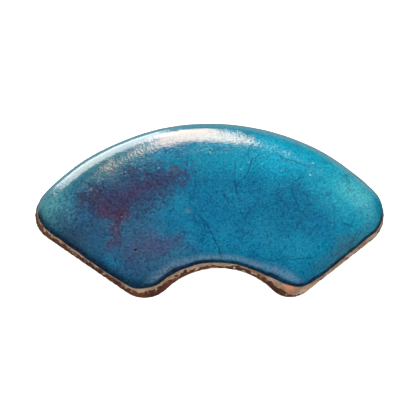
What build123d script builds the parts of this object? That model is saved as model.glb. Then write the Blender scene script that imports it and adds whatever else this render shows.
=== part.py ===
"""Hand-held guitar slide: a fan-shaped, domed block of fired clay under a coat of slip and a coat of glaze.

Millimetres, +Z up. The block stands on its flat bare foot. The fan's long side runs along X, its outer
arc faces +Y and its finger notch faces -Y. The origin is on the foot, under the middle of the block.
"""

from build123d import *
import math
import os

# Plan of the foot, drawn round the pivot that the outer arc is struck from
outer_radius = 42.7
notch_radius = 13.6
notch_centre = (1.6, 0.2)
# The straight ends lie on two lines that cross a little off the pivot, because the block was cut by hand
ends_cross = (2.1, -3.7)
left_end_slope = 35.5
right_end_slope = 39.0
# Left tip, left horn, right horn, right tip
corner_radii = (5.6, 5.9, 4.8, 6.6)

# Section of the clay
clay_height = 7.6
wall_draft = 22.0
# The top is an arc swept round the pivot, highest halfway between the notch and the outer arc
dome_radius = 80.0
dome_crest = (notch_radius + outer_radius) / 2
shoulder_radius = 2.5
foot_edge_radius = 0.45

# Coats, measured square to the surface they lie on
slip_thickness = 0.15
glaze_thickness = 0.4

# Lower edge of each coat along the front and along the back of the block, as (place on X, height)
glaze_line_front = [
    (-36, 2.6), (-24, 2.5), (-17, 2.45), (-11, 3.5), (-3, 2.4), (5, 2.2),
    (10, 2.7), (14.5, 4.1), (18, 2.3), (25, 1.8), (36, 2.4),
]
glaze_line_back = [(-36, 2.6), (0, 1.8), (36, 2.2)]
slip_line_front = [
    (-36, 1.7), (-24, 1.7), (-15, 1.8), (-9, 2.3), (-3, 1.4), (5, 1.1),
    (10, 1.6), (13, 2.2), (15.5, 0.9), (18, 0.5), (23, 0.5), (29, 0.6), (36, 0.6),
]
slip_line_back = [(-36, 1.7), (0, 1.3), (36, 1.0)]

# Half the size of the space that the cutting shapes fill, past the block on every side
reach = 80.0
# How far above the crest the walls are drawn before the dome cuts them off
room_over_dome = 2.0
# The lines' heights hold at this distance in front of and behind the middle of the block
line_distance = 20.0


def fan_plan(growth=0.0):
    """The foot's outline round its pivot, moved outward by growth."""
    left_end = Vector(-reach, 0).rotate(Axis.Z, -left_end_slope)
    right_end = Vector(reach, 0).rotate(Axis.Z, right_end_slope)
    with BuildSketch() as plan:
        Circle(outer_radius)
        with Locations(notch_centre):
            Circle(notch_radius, mode=Mode.SUBTRACT)
        with Locations(ends_cross):
            Polygon((0, 0), right_end, (0, 2 * reach), left_end, align=None, mode=Mode.INTERSECT)
        corners = [corner.center() for corner in plan.vertices().sort_by(Axis.X)]
        for corner, radius in zip(corners, corner_radii):
            fillet(plan.vertices().sort_by_distance(corner)[0], radius)
        if growth:
            offset(amount=growth)
    return plan.sketch


# The origin goes under the middle of the foot's own box
to_origin = Location(-fan_plan().bounding_box().center())


def space_under_dome(growth):
    """A turned shape round the pivot, wider than the block, topped by the dome moved outward by growth."""
    with BuildPart() as space:
        with BuildSketch(Plane.XZ):
            with Locations((dome_crest, clay_height - dome_radius)):
                Circle(dome_radius + growth)
            Rectangle(reach, reach, align=(Align.MIN, Align.MIN), mode=Mode.INTERSECT)
        revolve(axis=Axis.Z)
    return space.part


def domed_block(thickness=0.0):
    """The clay's shape with its walls, shoulder and dome moved outward by thickness."""
    dome = space_under_dome(thickness)
    with BuildPart() as block:
        add(fan_plan(thickness / math.cos(math.radians(wall_draft))))
        extrude(amount=clay_height + room_over_dome, taper=wall_draft)
        add(dome, mode=Mode.INTERSECT)
        top = block.faces().sort_by(Axis.Z)[-1]
        fillet(top.edges(), shoulder_radius + thickness)
    return to_origin * block.part


def space_above(front_line, back_line):
    """All the space above a wavy sheet that runs from the front line back to the back line."""
    with BuildPart() as space:
        for distance, line in ((line_distance, front_line), (-line_distance, back_line)):
            with BuildSketch(Plane.XZ.offset(distance)):
                with BuildLine():
                    Spline(*line)
                    Polyline(line[-1], (line[-1][0], reach), (line[0][0], reach), line[0])
                make_face()
        loft(ruled=True)
    return space.part


bare_block = domed_block()
slipped_block = domed_block(slip_thickness)
glazed_block = domed_block(slip_thickness + glaze_thickness)
above_slip_line = space_above(slip_line_front, slip_line_back)
above_glaze_line = space_above(glaze_line_front, glaze_line_back)

os.makedirs("parts", exist_ok=True)

# Fired clay block, bare round its foot and underneath
with BuildPart() as clay_body:
    add(bare_block)
    fillet(clay_body.faces().sort_by(Axis.Z)[0].edges(), foot_edge_radius)
clay_body.part.label = "clay_body"
export_step(clay_body.part, "parts/clay_body.step")

# Slip brushed over the clay, which shows as a pale line under the glaze
with BuildPart() as slip_coat:
    add(slipped_block)
    add(bare_block, mode=Mode.SUBTRACT)
    add(above_slip_line, mode=Mode.INTERSECT)
slip_coat.part.label = "slip_coat"
export_step(slip_coat.part, "parts/slip_coat.step")

# Crackle glaze over the slip
with BuildPart() as glaze_coat:
    add(glazed_block)
    add(slipped_block, mode=Mode.SUBTRACT)
    add(above_glaze_line, mode=Mode.INTERSECT)
glaze_coat.part.label = "glaze_coat"
export_step(glaze_coat.part, "parts/glaze_coat.step")
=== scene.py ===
"""Looks of the glazed fan-shaped slide: a red clay block, the cream slip brushed on it, and crackle glaze.

The three meshes are all grown from the CAD clay block, so they nest in one another as the real coats do.
Shapes are worked out in millimetres, in the frame of the CAD model, and stored in metres.
"""

import math

import bmesh
import bpy
import numpy as np
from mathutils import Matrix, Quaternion, Vector, noise
from mathutils.geometry import interpolate_bezier
from mathutils.kdtree import KDTree


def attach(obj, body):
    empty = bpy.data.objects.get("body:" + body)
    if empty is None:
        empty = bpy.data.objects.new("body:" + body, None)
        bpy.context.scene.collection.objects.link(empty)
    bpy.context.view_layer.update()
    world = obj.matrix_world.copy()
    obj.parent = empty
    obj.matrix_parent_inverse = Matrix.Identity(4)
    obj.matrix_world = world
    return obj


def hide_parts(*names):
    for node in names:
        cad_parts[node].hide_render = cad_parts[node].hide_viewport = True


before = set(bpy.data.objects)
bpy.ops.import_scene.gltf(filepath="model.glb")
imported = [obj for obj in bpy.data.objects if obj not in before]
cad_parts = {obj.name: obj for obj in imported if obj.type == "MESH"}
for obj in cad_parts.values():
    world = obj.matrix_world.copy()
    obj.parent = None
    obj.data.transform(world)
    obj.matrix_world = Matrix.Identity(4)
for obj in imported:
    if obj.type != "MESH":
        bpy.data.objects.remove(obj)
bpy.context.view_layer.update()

MM = 0.001
# The studio lights a white floor past white, so a paint is this much darker than the colour it shows
PAINT_SHARE = 0.51

# Clay block. Its side is a flared wall and a soft shoulder, which runs out into the dome at SHOULDER_INSET
MESH_SPACING = 0.3
FOOT_ROUND = 0.45
WALL_FLARE = math.radians(22)
WALL_HEIGHT = 2.4
SHOULDER_INSET = 6.4
CLAY_HEIGHT = 7.6
# Reach of the shoulder's curve along the wall's slope, as millimetres of height, and back from the dome
SHOULDER_UP_WALL = 2.9
SHOULDER_OFF_DOME = 4.4
# Closeness of the section's points
SECTION_STEP = 0.1
FOOT_POINTS = 12
WALL_POINTS = 20
SHOULDER_POINTS = 80
# The dome is an arc swept round the fan's pivot, highest at DOME_CREST from it
PIVOT = (0.18, -25.32)
DOME_CREST = 28.15
DOME_RADIUS = 80.0
# Middle of the lilac ring round the notch: partly milky glaze, partly a painted reflection of the floor
NOTCH_GLEAM = (2.8, -25.12, 0)
# Height at which the block's outline is read off the CAD block, clear of its rounded foot edge
OUTLINE_HEIGHT = 1.0
OUTLINE_ROUNDS = 6
OUTLINE_STEPS = 8
SMOOTHING_ROUNDS = 10
SMOOTHING_SHARE = 0.5
# Below this height the smoothing fades out towards the foot
SMOOTHING_FULL_HEIGHT = 1.0
# Unevenness of the block, as (height, width of its lumps, seed). It fades in between the two heights
BLOCK_WAVER = [(0.09, 11, 1), (0.02, 4.5, 2), (0.008, 1.6, 3)]
WAVER_STARTS, WAVER_FULL = 0.2, 2.5
# Past the largest inset that the block has
MIDDLE_INSET = 18.0

# How far apart in the noise two seeds that follow each other look
SEED_SHIFT = (7.3, 3.1, 5.7)

# Coats: thickness at the lower edge and over the clay, and how far above its edge a coat is full
EDGE_THICKNESS = 0.02
SLIP_THICKNESS = 0.15
SLIP_FEATHER = 0.35
GLAZE_THICKNESS = 0.4
GLAZE_FEATHER = 0.6
# The glaze has run down and stands thickest a little above its edge
POOL_THICKNESS = 0.1
POOL_HEIGHT = 1.1
# The mesh is made finer between these heights over a coat's edge
FINER_FROM, FINER_TO = -0.5, 1.0
CUT_TOLERANCE = 1e-5

# Lower edge of the glaze along the front and the back of the block, as (place on X, height)
GLAZE_FRONT = [(-36, 2.6), (-24, 2.5), (-17, 2.45), (-11, 3.5), (-3, 2.4), (5, 2.2), (10, 2.7), (14.5, 4.1),
               (18, 2.3), (25, 1.8), (36, 2.4)]
GLAZE_BACK = [(-36, 2.6), (0, 1.8), (36, 2.2)]
# Lower edge of the slip likewise
SLIP_FRONT = [(-36, 1.7), (-24, 1.7), (-15, 1.8), (-9, 2.3), (-3, 1.4), (5, 1.1), (10, 1.6), (13, 2.2),
              (15.5, 0.9), (18, 0.5), (23, 0.5), (29, 0.6), (36, 0.6)]
SLIP_BACK = [(-36, 1.7), (0, 1.3), (36, 1.0)]
# The front lines hold this far in front of the middle of the block, and the back lines as far behind it
FRONT, BACK = -20.0, 20.0
# Raggedness of the two edges, as (height, width, seed), and the least slip that shows below the glaze
GLAZE_WAVER = [(0.12, 3.0, 4)]
SLIP_WAVER = [(0.22, 1.6, 5), (0.22, 0.8, 6)]
SLIP_SHOWS = 0.25

# Studio, in metres
FLOOR_HALF = 1.5
CAMERA_TARGET = (0.0001, -0.0011, 0.0041)
CAMERA_DISTANCE = 0.42
CAMERA_ELEVATION = math.radians(71)
SENSOR_WIDTH = 36
LENS = 191.8
WARM = (1.0, 0.74, 0.54)
NEUTRAL = (1.0, 0.95, 0.88)


# ---------------------------------------------------------------- shapes


def smooth_line(points, x):
    """Heights at x along a smooth line through the points."""
    px, height = np.array(points, float).T
    slope = np.gradient(height, px)
    i = np.clip(np.searchsorted(px, x) - 1, 0, len(px) - 2)
    step = px[i + 1] - px[i]
    t = np.clip((x - px[i]) / step, 0, 1)
    near = (1 + 2 * t) * (1 - t) ** 2 * height[i] + t * (1 - t) ** 2 * step * slope[i]
    far = t * t * (3 - 2 * t) * height[i + 1] - t * t * (1 - t) * step * slope[i + 1]
    return near + far


def ease(low, high, value):
    """0 below low, 1 above high, smooth between."""
    t = np.clip((value - low) / (high - low), 0, 1)
    return t * t * (3 - 2 * t)


def noise_at(places, size, seed):
    """Smooth noise of about -1 to 1 at each place, its lumps about size across.

    Blender's own noise reaches about half as far, so it is doubled.
    """
    shift = Vector([step * seed for step in SEED_SHIFT])
    return np.array([noise.noise(Vector(p) / size + shift) for p in places]) * 2


def waver(places, lumps):
    """Sum of noises at each place, one for each row of lumps: (height, width, seed)."""
    return sum(height * noise_at(places, width, seed) for height, width, seed in lumps)


def edge_height(front, back, places):
    """Height over the foot of a coat's lower edge, at each place's x and y."""
    share = np.clip((places[:, 1] - FRONT) / (BACK - FRONT), 0, 1)
    return smooth_line(front, places[:, 0]) * (1 - share) + smooth_line(back, places[:, 0]) * share


def evened_block():
    """The CAD clay block as an even mesh of quads: a bmesh in millimetres."""
    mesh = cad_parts["clay_body"].data.copy()
    block = bpy.data.objects.new("evened_block", mesh)
    bpy.context.scene.collection.objects.link(block)
    block.scale = (1 / MM, 1 / MM, 1 / MM)
    bpy.context.view_layer.objects.active = block
    for other in bpy.context.selected_objects:
        other.select_set(False)
    block.select_set(True)
    bpy.ops.object.transform_apply(location=False, rotation=False, scale=True)
    remesh = block.modifiers.new("even", "REMESH")
    remesh.mode = "VOXEL"
    remesh.voxel_size = MESH_SPACING
    bpy.ops.object.modifier_apply(modifier=remesh.name)
    even = bmesh.new()
    even.from_mesh(block.data)
    bpy.data.objects.remove(block)
    bpy.data.meshes.remove(mesh)
    return even


def places_of(mesh):
    return np.array([v.co for v in mesh.verts])


def normals_of(mesh):
    mesh.normal_update()
    return np.array([v.normal for v in mesh.verts])


def put(mesh, places):
    for vert, place in zip(mesh.verts, places):
        vert.co = place


def outline_of(mesh):
    """The foot's outline as close points in order, with inward normals.

    It is read off the block a little above the foot.
    """
    ring = mesh.copy()
    everything = [*ring.verts, *ring.edges, *ring.faces]
    cut = bmesh.ops.bisect_plane(ring, geom=everything, plane_co=(0, 0, OUTLINE_HEIGHT), plane_no=(0, 0, 1))
    edges = {item for item in cut["geom_cut"] if isinstance(item, bmesh.types.BMEdge)}
    first = next(iter(sorted(edges, key=lambda edge: edge.verts[0].co.x)))
    run = [first.verts[0], first.verts[1]]
    while run[-1] is not run[0]:
        run.append(next(e.other_vert(run[-1]) for e in run[-1].link_edges
                        if e in edges and e.other_vert(run[-1]) is not run[-2]))
    points = np.array([v.co.xy for v in run[:-1]])
    ring.free()
    for _ in range(OUTLINE_ROUNDS):
        points = (np.roll(points, 1, 0) + 2 * points + np.roll(points, -1, 0)) / 4
    shares = np.linspace(0, 1, OUTLINE_STEPS, endpoint=False)[:, None]
    dense = (points[:, None] * (1 - shares) + np.roll(points, -1, 0)[:, None] * shares).reshape(-1, 2)
    along = np.roll(dense, -1, 0) - np.roll(dense, 1, 0)
    inward = np.column_stack((-along[:, 1], along[:, 0])) / np.linalg.norm(along, axis=1)[:, None]
    turn = np.sum(dense[:, 0] * np.roll(dense[:, 1], -1) - dense[:, 1] * np.roll(dense[:, 0], -1))
    inward *= np.sign(turn)
    return dense - inward * OUTLINE_HEIGHT * math.tan(WALL_FLARE), inward


def section():
    """The clay's side from the middle of the foot to the middle of the top, as (inset, height) points."""
    flare = math.tan(WALL_FLARE)
    wall_top = Vector((WALL_HEIGHT * flare, WALL_HEIGHT))
    rim = Vector((SHOULDER_INSET, CLAY_HEIGHT))
    up_the_wall = wall_top + Vector((flare, 1)) * SHOULDER_UP_WALL
    off_the_dome = rim - Vector((SHOULDER_OFF_DOME, 0))
    shoulder = interpolate_bezier(wall_top, up_the_wall, off_the_dome, rim, SHOULDER_POINTS)
    foot_end = Vector((FOOT_ROUND * flare, FOOT_ROUND))
    foot = interpolate_bezier((FOOT_ROUND, 0), (FOOT_ROUND / 2, 0), foot_end / 2, foot_end, FOOT_POINTS)
    bottom = [(inset, 0) for inset in np.arange(MIDDLE_INSET, FOOT_ROUND, -SECTION_STEP)]
    top = [(inset, CLAY_HEIGHT) for inset in np.arange(SHOULDER_INSET, MIDDLE_INSET, SECTION_STEP)]
    wall = [foot_end.lerp(wall_top, share) for share in np.linspace(0, 1, WALL_POINTS)]
    return np.array([tuple(point)[:2] for point in (*bottom, *foot, *wall, *shoulder, *top)])


def shape(mesh):
    """Moves the block's surface onto the section, and smooths it."""
    outline, inward = outline_of(mesh)
    tree = KDTree(len(outline))
    for i, point in enumerate(outline):
        tree.insert((*point, 0), i)
    tree.balance()
    places = places_of(mesh)
    nearest = np.array([tree.find((x, y, 0))[1] for x, y, _ in places])
    away = inward[nearest]
    inset = np.sum((places[:, :2] - outline[nearest]) * away, axis=1)
    side = section()
    curve = KDTree(len(side))
    for i, (x, z) in enumerate(side):
        curve.insert((x, z, 0), i)
    curve.balance()
    match = side[[curve.find((d, z, 0))[1] for d, z in zip(inset, places[:, 2])]]
    places[:, :2] += away * (match[:, :1] - inset[:, None])
    places[:, 2] = match[:, 1]
    return smoothed(mesh, places)


def smoothed(mesh, places):
    """The places after rounds of averaging with their neighbours, with the foot kept flat."""
    ends = np.array([(e.verts[0].index, e.verts[1].index) for e in mesh.edges])
    a, b = np.concatenate((ends, ends[:, ::-1])).T
    count = np.bincount(a, minlength=len(places))[:, None]
    share = SMOOTHING_SHARE * ease(0.0, SMOOTHING_FULL_HEIGHT, places[:, 2])[:, None]
    for _ in range(SMOOTHING_ROUNDS):
        around = np.column_stack([np.bincount(a, places[b, k], len(places)) for k in range(3)]) / count
        places = places + share * (around - places)
    return places


def clay_block():
    """The block as made by hand: an even mesh, shaped to its section, domed and a little uneven."""
    mesh = evened_block()
    mesh.verts.index_update()
    places = shape(mesh)
    from_pivot = np.linalg.norm(places[:, :2] - PIVOT, axis=1)
    sag = (from_pivot - DOME_CREST) ** 2 / (2 * DOME_RADIUS)
    places[:, 2] -= sag * places[:, 2] / CLAY_HEIGHT
    put(mesh, places)
    lift = ease(WAVER_STARTS, WAVER_FULL, places[:, 2]) * waver(places, BLOCK_WAVER)
    places += lift[:, None] * normals_of(mesh)
    places[:, 2] = np.maximum(places[:, 2], 0)
    put(mesh, places)
    return mesh


def new_piece(name, mesh, material, replaces):
    """Makes a finished piece of the object from a bmesh in millimetres."""
    data = bpy.data.meshes.new(name)
    bmesh.ops.scale(mesh, vec=(MM, MM, MM), verts=mesh.verts)
    mesh.to_mesh(data)
    mesh.free()
    data.shade_smooth()
    data.materials.append(material)
    piece = bpy.data.objects.new(name, data)
    bpy.context.scene.collection.objects.link(piece)
    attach(piece, "root")
    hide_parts(replaces)
    return piece


def coat(block, height, inner, thickness):
    """A closed coat on the part of the block that stands above an edge.

    height is each vertex's height over the edge. The coat runs from inner to inner + thickness(height over
    the edge), square to the block.
    """
    skin = block.copy()
    at = skin.verts.layers.float_vector.new("at")
    outward = skin.verts.layers.float_vector.new("outward")
    for vert, normal, over in zip(skin.verts, normals_of(skin), height):
        vert[at] = vert.co
        vert[outward] = normal
        vert.co.z = over
    near_edge = [e for e in skin.edges if all(FINER_FROM < v.co.z < FINER_TO for v in e.verts)]
    bmesh.ops.subdivide_edges(skin, edges=near_edge, cuts=1, use_grid_fill=True)
    everything = [*skin.verts, *skin.edges, *skin.faces]
    bmesh.ops.bisect_plane(skin, geom=everything, dist=CUT_TOLERANCE, plane_no=(0, 0, 1), clear_inner=True)
    skin.verts.index_update()
    over = np.array([v.co.z for v in skin.verts])
    place = np.array([v[at] for v in skin.verts])
    normal = np.array([v[outward] for v in skin.verts])
    normal /= np.linalg.norm(normal, axis=1)[:, None]
    outer = place + normal * (inner + thickness(over))[:, None]
    under = place + normal * inner
    faces = [[v.index for v in face.verts] for face in skin.faces]
    rim = [loop_ends(edge) for edge in skin.edges if edge.is_boundary]
    skin.free()
    n = len(place)
    closed = bmesh.new()
    verts = [closed.verts.new(p) for p in np.concatenate((outer, under))]
    for face in faces:
        closed.faces.new([verts[i] for i in face])
        closed.faces.new([verts[i + n] for i in reversed(face)])
    for a, b in rim:
        closed.faces.new([verts[b], verts[a], verts[a + n], verts[b + n]])
    keep_height(closed, np.concatenate((over, over)))
    return closed


def keep_height(mesh, over):
    """Stores each vertex's height over an edge, for the material to read."""
    layer = mesh.verts.layers.float.new("over_edge")
    for vert, value in zip(mesh.verts, over):
        vert[layer] = value


def loop_ends(edge):
    """The ends of a boundary edge, in the order in which its one face runs."""
    loop = edge.link_loops[0]
    return loop.vert.index, loop.link_loop_next.vert.index


def rounded(over, feather):
    """A coat's share of its thickness: a quarter circle that starts at its edge and is full at feather."""
    return np.sqrt(1 - (1 - np.clip(over / feather, 0, 1)) ** 2)


def glaze_thickness(over):
    share = rounded(over, GLAZE_FEATHER)
    pool = POOL_THICKNESS * np.exp(-(((over - POOL_HEIGHT) / POOL_HEIGHT) ** 2))
    return EDGE_THICKNESS + (GLAZE_THICKNESS - EDGE_THICKNESS) * share + pool * share


def slip_thickness(over):
    return EDGE_THICKNESS + (SLIP_THICKNESS - EDGE_THICKNESS) * rounded(over, SLIP_FEATHER)


# ---------------------------------------------------------------- materials


def colour(red, green, blue):
    """A display colour of 0 to 255 a channel, as the linear colour that a paint needs in this studio."""
    def linear(value):
        value /= 255
        return PAINT_SHARE * (value / 12.92 if value <= 0.04045 else ((value + 0.055) / 1.055) ** 2.4)
    return (linear(red), linear(green), linear(blue), 1)


class Paint:
    """A material's node tree, with short names for the nodes that it is made of."""

    def __init__(self, name, roughness=0.5, ior=1.5):
        self.material = bpy.data.materials.new(name)
        self.material.use_nodes = True
        self.tree = self.material.node_tree
        self.surface = self.tree.nodes["Principled BSDF"]
        self.surface.inputs["Roughness"].default_value = roughness
        self.surface.inputs["IOR"].default_value = ior
        spot = self.node("ShaderNodeTexCoord").outputs
        self.place = self.vector("SCALE", spot["Object"], Scale=1 / MM)
        self.facing = spot["Normal"]

    def node(self, kind, inputs=(), **settings):
        made = self.tree.nodes.new(kind)
        for name, value in settings.items():
            setattr(made, name, value)
        for name, value in dict(inputs).items():
            self.feed(made.inputs[name], value)
        return made

    def feed(self, socket, value):
        if isinstance(value, bpy.types.NodeSocket):
            self.tree.links.new(value, socket)
        else:
            socket.default_value = value

    def math(self, operation, a, b):
        return self.node("ShaderNodeMath", {0: a, 1: b}, operation=operation).outputs[0]

    def vector(self, operation, a, b=(0, 0, 0), **inputs):
        made = self.node("ShaderNodeVectorMath", {0: a, 1: b, **inputs}, operation=operation)
        return made.outputs["Value" if operation == "LENGTH" else "Vector"]

    def ease(self, value, low, high, to_low=0.0, to_high=1.0):
        inputs = {"Value": value, "From Min": low, "From Max": high, "To Min": to_low, "To Max": to_high}
        return self.node("ShaderNodeMapRange", inputs, interpolation_type="SMOOTHSTEP").outputs["Result"]

    def mix(self, share, a, b, blend="MIX"):
        made = self.node("ShaderNodeMix", data_type="RGBA", blend_type=blend)
        for socket, value in ((made.inputs["Factor"], share), (made.inputs[6], a), (made.inputs[7], b)):
            self.feed(socket, value)
        return made.outputs[2]

    def noise(self, size, detail=2.0, rough=0.5, output="Fac"):
        """Noise with lumps about size millimetres across."""
        inputs = {"Vector": self.place, "Scale": 1 / size, "Detail": detail, "Roughness": rough}
        return self.node("ShaderNodeTexNoise", inputs).outputs[output]

    def warped(self, size, reach):
        """The place, pushed about by up to half of reach by noise of that size."""
        push = self.vector("SUBTRACT", self.noise(size, output="Color"), (0.5, 0.5, 0.5))
        return self.vector("ADD", self.place, self.vector("SCALE", push, Scale=reach))

    def patch(self, place, centre, radii, turn=0.0, soft=1.0):
        """1 inside an oval in plan, 0 outside it. turn is in degrees, and soft is the rim's share of it."""
        inputs = {"Vector": place, "Location": (*centre, 0), "Rotation": (0, 0, math.radians(turn)),
                  "Scale": (*radii, ANY_HEIGHT)}
        inside = self.node("ShaderNodeMapping", inputs, vector_type="TEXTURE").outputs["Vector"]
        return self.ease(self.vector("LENGTH", inside), 1 - soft, 1, 1, 0)

    def distance_to_line(self, place, start, end):
        """Millimetres in plan from a place to the straight line between two points."""
        along = Vector(end) - Vector(start)
        inputs = {"Vector": place, "Location": (*start, 0), "Rotation": (0, 0, math.atan2(along.y, along.x))}
        local = self.node("ShaderNodeMapping", inputs, vector_type="TEXTURE").outputs["Vector"]
        nearest = self.vector("MINIMUM", self.vector("MAXIMUM", local, (0, 0, 0)), (along.length, 0, 0))
        return self.vector("LENGTH", self.vector("SUBTRACT", local, nearest))

    def over_edge(self):
        """Millimetres above the edge that the mesh's heights were stored for."""
        return self.node("ShaderNodeAttribute", attribute_name="over_edge").outputs["Fac"]

    def bump(self, height, depth, under=None):
        """A normal bent by a height of 0 to 1 that stands for depth millimetres."""
        inputs = {"Height": height, "Distance": depth * MM, "Strength": 1.0}
        if under:
            inputs["Normal"] = under
        return self.node("ShaderNodeBump", inputs).outputs["Normal"]

    def finish(self, tone, roughness=None, normal=None):
        for name, value in (("Base Color", tone), ("Roughness", roughness), ("Normal", normal)):
            if value is not None:
                self.feed(self.surface.inputs[name], value)
        return self.material


def clay_material():
    """Bare fired clay: dark red-brown and grainy, with olive scorching, iron specks and flecks of slip."""
    p = Paint("clay", ior=1.4)
    tone = p.mix(p.ease(p.noise(3.5, 4), 0.35, 0.68), colour(72, 31, 11), colour(104, 53, 22))
    tone = p.mix(p.ease(p.noise(1.8, 3), 0.52, 0.7, 0, 0.7), tone, colour(66, 52, 34))
    tone = p.mix(p.ease(p.noise(0.5, 3, 0.7), 0.5, 0.75, 0, 0.5), tone, colour(158, 104, 70))
    tone = p.mix(p.ease(p.noise(0.35, 1), 0.64, 0.74, 0, 0.8), tone, colour(30, 14, 8))
    near_slip = p.ease(p.over_edge(), -1.3, -0.1)
    flecks = p.math("ADD", p.noise(0.75, 2, 0.5), p.math("MULTIPLY", near_slip, 0.12))
    flecks = p.math("MULTIPLY", p.ease(flecks, 0.65, 0.71, 0, 0.85), near_slip)
    tone = p.mix(flecks, tone, colour(206, 178, 148))
    grain = p.noise(0.3, 4, 0.7)
    return p.finish(tone, p.ease(grain, 0.3, 0.7, 0.75, 0.95), p.bump(grain, 0.12))


def slip_material():
    """Cream slip, fired to tan, stained by the clay where it is thin and green where glaze ran over it."""
    p = Paint("slip", ior=1.45)
    tone = p.mix(p.ease(p.noise(2.2, 3), 0.35, 0.7), colour(140, 110, 86), colour(184, 154, 128))
    tone = p.mix(p.ease(p.noise(3.0, 2), 0.54, 0.68, 0, 0.6), tone, colour(150, 150, 118))
    tone = p.mix(p.ease(p.noise(0.6, 3, 0.6), 0.5, 0.66, 0, 0.8), tone, colour(122, 78, 52))
    tone = p.mix(p.patch(p.warped(0.8, 1.0), (15.0, -15.6), (1.6, 1.2), 0, 0.8), tone, colour(214, 132, 92))
    grain = p.noise(0.25, 3, 0.6)
    return p.finish(tone, p.ease(grain, 0.3, 0.7, 0.5, 0.75), p.bump(grain, 0.06))


# Radius of a patch in height, so large that only the place in plan counts
ANY_HEIGHT = 1000
# Colour patches of the glaze in plan: (centre, radii, turn in degrees, strength, colour). The last is
# painted shade
TONE_AND_SHADE_PATCHES = [
    ((13, 9), (17, 8), -15, 0.9, colour(6, 158, 190)),
    ((1, 8), (12, 6), 5, 0.7, colour(6, 132, 162)),
    ((27, 2), (10, 14), 25, 0.85, colour(34, 160, 182)),
    ((28, 0), (4, 7), 30, 0.5, colour(92, 172, 180)),
    ((18, -10), (9, 5), -30, 0.6, colour(8, 124, 154)),
    ((14, -3), (10, 5), 0, 0.7, colour(4, 98, 132)),
    ((0, -2), (9, 7), 0, 0.6, colour(4, 98, 138)),
    ((-20, 6), (13, 6), 25, 0.9, colour(50, 108, 118)),
    ((-29, -1), (7, 8), 0, 0.9, colour(80, 138, 144)),
    ((-12, -10), (14, 8), -15, 0.9, colour(54, 74, 102)),
    ((-25, -7), (8, 4), -35, 0.8, colour(50, 66, 84)),
    # Painted shade: greyer and darker along the right end of the near edge
    ((26, -9.4), (12, 3.4), 39, 0.55, colour(64, 104, 116)),
]
# Purple flush, laid on in the same way: a wide haze first and denser smears over it
FLUSHES = [
    ((-17, -1), (18, 11), 25, 0.9, colour(42, 68, 98)),
    ((-14, 1), (17, 6), 24, 0.85, colour(46, 60, 94)),
    ((-9, 4), (9, 3), 18, 0.6, colour(46, 56, 92)),
    ((-22, 0), (5, 3), 40, 0.7, colour(52, 44, 70)),
    ((-17, -1.5), (6, 4), 30, 0.5, colour(50, 44, 74)),
    ((-16.5, -4.5), (2.6, 5.5), -25, 0.8, colour(70, 44, 66)),
    ((-19.5, -3), (2.2, 2.8), 0, 0.6, colour(72, 44, 70)),
    ((-13, 1.4), (6.5, 1.8), 18, 0.55, colour(62, 46, 80)),
    ((-18, -9), (3, 2), 30, 0.5, colour(70, 50, 76)),
    ((-9, -9), (8, 3), 10, 0.6, colour(62, 66, 104)),
    ((-14, -13), (6, 3), -20, 0.5, colour(46, 54, 92)),
    ((-7, 6), (2.5, 1.5), 0, 0.4, colour(86, 76, 86)),
]
# The glaze's longer cracks in plan: (strength, points)
CRACKS = [
    (1.0, [(-1.2, -4.2), (0.6, -6.8), (1.9, -9.8), (3.0, -12.6)]),
    (0.8, [(5.0, 0.6), (5.0, 2.2), (7.2, 4.8), (7.9, 7.6),
           (10.0, 8.9), (13.0, 8.4), (17.0, 6.8), (20.6, 6.0)]),
    (0.65, [(5.0, 7.0), (4.7, 4.2), (4.9, 1.0)]),
    (0.55, [(15.8, 4.2), (15.4, 1.2), (17.0, -2.8), (18.6, -4.4)]),
    (0.5, [(11.8, 1.0), (14.0, -0.8), (17.0, -2.8)]),
    (0.45, [(21.5, 1.0), (23.0, -1.6), (23.3, -6.0)]),
    (0.6, [(7.6, -10.6), (11.4, -11.8), (15.0, -12.0), (19.6, -11.4)]),
    (0.6, [(-2.8, 5.4), (-2.6, 2.5), (-2.9, -0.2)]),
]
# Pinholes and pale specks in plan, with their radii. The first speck is a painted glint on the near rim of
# the first pinhole
PINHOLES = [
    ((0.1, 9.4), 0.14), ((-13.7, -10.2), 0.26), ((-16.2, -3.6), 0.15), ((18.4, -12.6), 0.12),
]
SPECKS_AND_GLINT = [
    ((0.2, 9.0), 0.1), ((-20.7, 3.4), 0.12), ((7.4, 7.0), 0.12), ((9.9, 6.8), 0.12),
    ((5.9, 5.6), 0.12), ((18.8, 4.6), 0.2), ((19.4, 7.0), 0.16), ((13.5, 5.4), 0.1),
    ((29.2, -1.2), 0.12), ((-9.5, 5.9), 0.12),
]
# The two nets of finer crackle: (size of a cell, half the width of a line, strength)
CRACKLE_NETS = [(8.0, 0.09, 0.5), (3.2, 0.07, 0.35)]


def crackle(p):
    """The crack lines of the glaze, 0 to 1: the longer ones, and two nets of finer ones."""
    wavering = p.vector("MULTIPLY", p.warped(2.4, 0.8), (1, 1, 0))
    lines = 0.0
    for strength, points in CRACKS:
        away = 1.0
        for start, end in zip(points, points[1:]):
            away = p.math("MINIMUM", away, p.distance_to_line(wavering, start, end))
        lines = p.math("MAXIMUM", lines, p.ease(away, 0.02, 0.22, strength, 0))
    lines = p.math("MULTIPLY", lines, p.ease(p.noise(1.6), 0.35, 0.55, 0.5, 1))
    for cell, half_width, strength in CRACKLE_NETS:
        inputs = {"Vector": p.warped(2.5, 2.0), "Scale": 1 / cell}
        edges = p.node("ShaderNodeTexVoronoi", inputs, feature="DISTANCE_TO_EDGE").outputs["Distance"]
        net = p.ease(p.math("MULTIPLY", edges, cell), half_width * 0.4, half_width * 2.2, 1, 0)
        broken = p.ease(p.noise(4), 0.42, 0.6, 0, strength)
        lines = p.math("MAXIMUM", lines, p.math("MULTIPLY", net, broken))
    return lines


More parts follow.
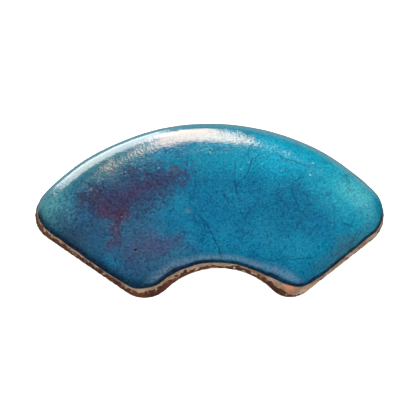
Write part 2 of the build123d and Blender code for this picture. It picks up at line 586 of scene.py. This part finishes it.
def spots(p, marks, soft):
    """Ragged round marks in plan, 0 to 1, each a centre and a radius."""
    flat = p.vector("MULTIPLY", p.warped(0.3, 0.2), (1, 1, 0))
    nearest = None
    for centre, radius in marks:
        away = p.math("SUBTRACT", p.vector("LENGTH", p.vector("SUBTRACT", flat, (*centre, 0))), radius)
        nearest = away if nearest is None else p.math("MINIMUM", nearest, away)
    return p.ease(nearest, -soft, soft, 1, 0)


def glaze_material():
    """Turquoise crackle glaze with a purple flush, dark above the near edge from pooling and painted shade,
    with painted sheen on the far shoulder and a painted reflection round the notch.
    """
    p = Paint("glaze", ior=1.75)
    grain = p.noise(0.55, 4, 0.7)
    over = p.over_edge()
    back = p.node("ShaderNodeSeparateXYZ", {0: p.facing}).outputs["Y"]

    # Colour of the glaze's body
    cloud = p.warped(5, 4.5)
    ragged = p.vector("ADD", p.warped(3.5, 5.0), p.vector("SUBTRACT", p.warped(1.2, 2.0), p.place))
    tone = p.mix(p.ease(p.noise(6, 4, 0.6), 0.35, 0.65), colour(4, 100, 138), colour(14, 116, 150))
    for centre, radii, turn, strength, shade in TONE_AND_SHADE_PATCHES:
        share = p.math("MULTIPLY", p.patch(cloud, centre, radii, turn), strength)
        tone = p.mix(share, tone, shade)
    for centre, radii, turn, strength, shade in FLUSHES:
        inside = p.patch(ragged, centre, radii, turn)
        broken = p.math("ADD", inside, p.math("MULTIPLY", grain, 2.4))
        broken = p.ease(broken, 1.2, 2.05, 0, strength)
        tone = p.mix(p.math("MULTIPLY", broken, p.ease(inside, 0, 0.2)), tone, shade)
    mottle = p.noise(0.4, 3, 0.75)
    tone = p.mix(p.ease(mottle, 0.48, 0.7, 0, 0.9), tone, (0.3, 0.4, 0.55, 1), "MULTIPLY")
    tone = p.mix(p.ease(mottle, 0.5, 0.32, 0, 0.9), tone, (1.4, 1.5, 1.4, 1), "MULTIPLY")

    # Cracks and blemishes, with one painted glint
    lines = crackle(p)
    holes = spots(p, PINHOLES, 0.1)
    specks = spots(p, SPECKS_AND_GLINT, 0.14)
    stain = p.patch(p.warped(0.6, 0.6), (-4.0, -2.6), (0.7, 0.55))
    tone = p.mix(p.math("MULTIPLY", lines, 0.7), tone, colour(8, 34, 66))
    # Pale specks, and one painted glint under a pinhole
    tone = p.mix(p.math("MULTIPLY", specks, 0.6), tone, colour(150, 200, 208))
    tone = p.mix(p.math("MULTIPLY", holes, 0.9), tone, colour(12, 14, 24))
    tone = p.mix(stain, tone, colour(96, 104, 122))

    # Paler on the far shoulder, which faces the window lights: painted sheen. And scorched brown in places
    # along the far edge
    tone = p.mix(p.ease(back, 0.35, 0.8, 0, 0.6), tone, colour(62, 140, 158))
    scorched = p.math("MULTIPLY", p.ease(back, 0.5, 0.8), p.ease(over, 1.6, 0.8))
    scorched = p.math("MULTIPLY", scorched, p.ease(p.noise(5), 0.4, 0.6))
    tone = p.mix(scorched, tone, colour(96, 88, 80))

    # Dark above the near edge, over more height at the left end: partly the glaze pooling there, partly
    # painted shade on the side that faces away from the window lights
    left = p.ease(p.node("ShaderNodeSeparateXYZ", {0: p.place}).outputs["X"], -4, -11)
    dark_band_top = p.math("ADD", 2.3, p.math("MULTIPLY", left, 1.8))
    pooled_and_shaded = p.ease(p.math("ADD", over, p.noise(2.0)), 1.4, dark_band_top, 0.95, 0)
    pooled_and_shaded = p.math("MULTIPLY", pooled_and_shaded, p.ease(grain, 0.36, 0.56, 0.7, 1))
    # Only on the near side, which faces away from the window lights: painted shade
    pooled_and_shaded = p.math("MULTIPLY", pooled_and_shaded, p.ease(back, 0.1, -0.3))
    tone = p.mix(pooled_and_shaded, tone, colour(16, 20, 40))

    # Lilac ring round the notch: partly the glaze's own milky tone, partly a painted reflection of the
    # floor. And the thin brown line of the edge itself
    from_notch = p.vector("MULTIPLY", p.vector("SUBTRACT", p.place, NOTCH_GLEAM), (1, 1, 0))
    from_notch = p.vector("LENGTH", from_notch)
    lilac_sheen = p.math("MULTIPLY", p.ease(over, 1.1, 1.8), p.ease(over, 3.1, 2.0))
    lilac_sheen = p.math("MULTIPLY", lilac_sheen, p.ease(from_notch, 18.2, 16.0))
    lilac_sheen = p.math("MULTIPLY", lilac_sheen, p.ease(p.noise(0.5, 3, 0.7), 0.35, 0.62, 0.15, 0.75))
    tone = p.mix(lilac_sheen, tone, colour(106, 134, 158))
    tone = p.mix(p.ease(over, 0.05, 0.3, 0.9, 0), tone, colour(70, 60, 52))

    normal = p.bump(p.noise(1.6, 2), 0.03)
    normal = p.bump(p.noise(0.34, 2, 0.6), 0.028, normal)
    normal = p.bump(p.math("MAXIMUM", p.math("MULTIPLY", lines, 0.2), holes), -0.05, normal)
    roughness = p.ease(p.noise(0.3, 2), 0.3, 0.7, 0.09, 0.16)
    return p.finish(tone, roughness, normal)


# ---------------------------------------------------------------- the pieces

block = clay_block()
places = places_of(block)

glaze_line = edge_height(GLAZE_FRONT, GLAZE_BACK, places) + waver(places, GLAZE_WAVER)
slip_line = edge_height(SLIP_FRONT, SLIP_BACK, places) + waver(places, SLIP_WAVER)

over_glaze_line = places[:, 2] - glaze_line
over_slip_line = places[:, 2] - np.minimum(slip_line, glaze_line - SLIP_SHOWS)

glaze = coat(block, over_glaze_line, SLIP_THICKNESS, glaze_thickness)
slip = coat(block, over_slip_line, 0, slip_thickness)
keep_height(block, over_slip_line)
new_piece("glaze", glaze, glaze_material(), "glaze_coat")
new_piece("slip", slip, slip_material(), "slip_coat")
new_piece("clay", block, clay_material(), "clay_body")


# ---------------------------------------------------------------- floor, lights and camera


def floor():
    mesh = bpy.data.meshes.new("floor")
    corners = [(x * FLOOR_HALF, y * FLOOR_HALF, 0) for x, y in ((-1, -1), (1, -1), (1, 1), (-1, 1))]
    mesh.from_pydata(corners, [], [(0, 1, 2, 3)])
    piece = bpy.data.objects.new("floor", mesh)
    bpy.context.scene.collection.objects.link(piece)
    p = Paint("floor", roughness=0.9)
    piece.data.materials.append(p.finish((0.9, 0.9, 0.9, 1)))
    piece.visible_glossy = False


def soft_light(name, place, size, power, tint=(1, 1, 1), lean=0.0, mirrored=True):
    """An area light that points at the object, its top leant to +X by so many degrees.

    Unless mirrored, glossy surfaces don't show it.
    """
    data = bpy.data.lights.new(name, "AREA")
    data.shape = "RECTANGLE"
    data.size, data.size_y = size
    data.energy = power
    data.color = tint
    light = bpy.data.objects.new(name, data)
    bpy.context.scene.collection.objects.link(light)
    light.location = place
    facing = (-Vector(place)).to_track_quat("-Z", "Y")
    light.rotation_euler = (facing @ Quaternion((0, 0, 1), math.radians(lean))).to_euler()
    light.visible_glossy = mirrored


def camera():
    data = bpy.data.cameras.new("camera")
    data.sensor_width = SENSOR_WIDTH
    data.lens = LENS
    eye = bpy.data.objects.new("camera", data)
    bpy.context.scene.collection.objects.link(eye)
    target = Vector(CAMERA_TARGET)
    towards = Vector((0, -math.cos(CAMERA_ELEVATION), math.sin(CAMERA_ELEVATION)))
    eye.location = target + CAMERA_DISTANCE * towards
    eye.rotation_euler = (target - eye.location).to_track_quat("-Z", "Y").to_euler()
    bpy.context.scene.camera = eye


floor()
camera()
# The far shoulder mirrors these two. The second reaches below the floor, where only reflections see it
soft_light("window", (-0.055, 0.725, 0.395), (0.23, 0.78), 6.8, tint=WARM, lean=4)
soft_light("side_window", (-0.293, 0.690, 0.0), (0.36, 0.70), 4.5, tint=NEUTRAL)
# Stands in for the glow of the table, which the far rim mirrors. The floor hides it from all the rest
soft_light("table_glow", (-0.1, 0.5, -0.36), (1.3, 0.6), 0.7)
soft_light("ceiling", (0, 0.1, 1.2), (1.0, 1.0), 17, mirrored=False)
soft_light("front", (0.1, -0.7, 0.45), (1.0, 0.6), 5, mirrored=False)

world = bpy.data.worlds.new("studio")
world.use_nodes = True
world.node_tree.nodes["Background"].inputs["Color"].default_value = (1, 1, 1, 1)
world.node_tree.nodes["Background"].inputs["Strength"].default_value = 1.0
world.cycles_visibility.glossy = False
bpy.context.scene.world = world
bpy.context.scene.view_settings.view_transform = "Standard"
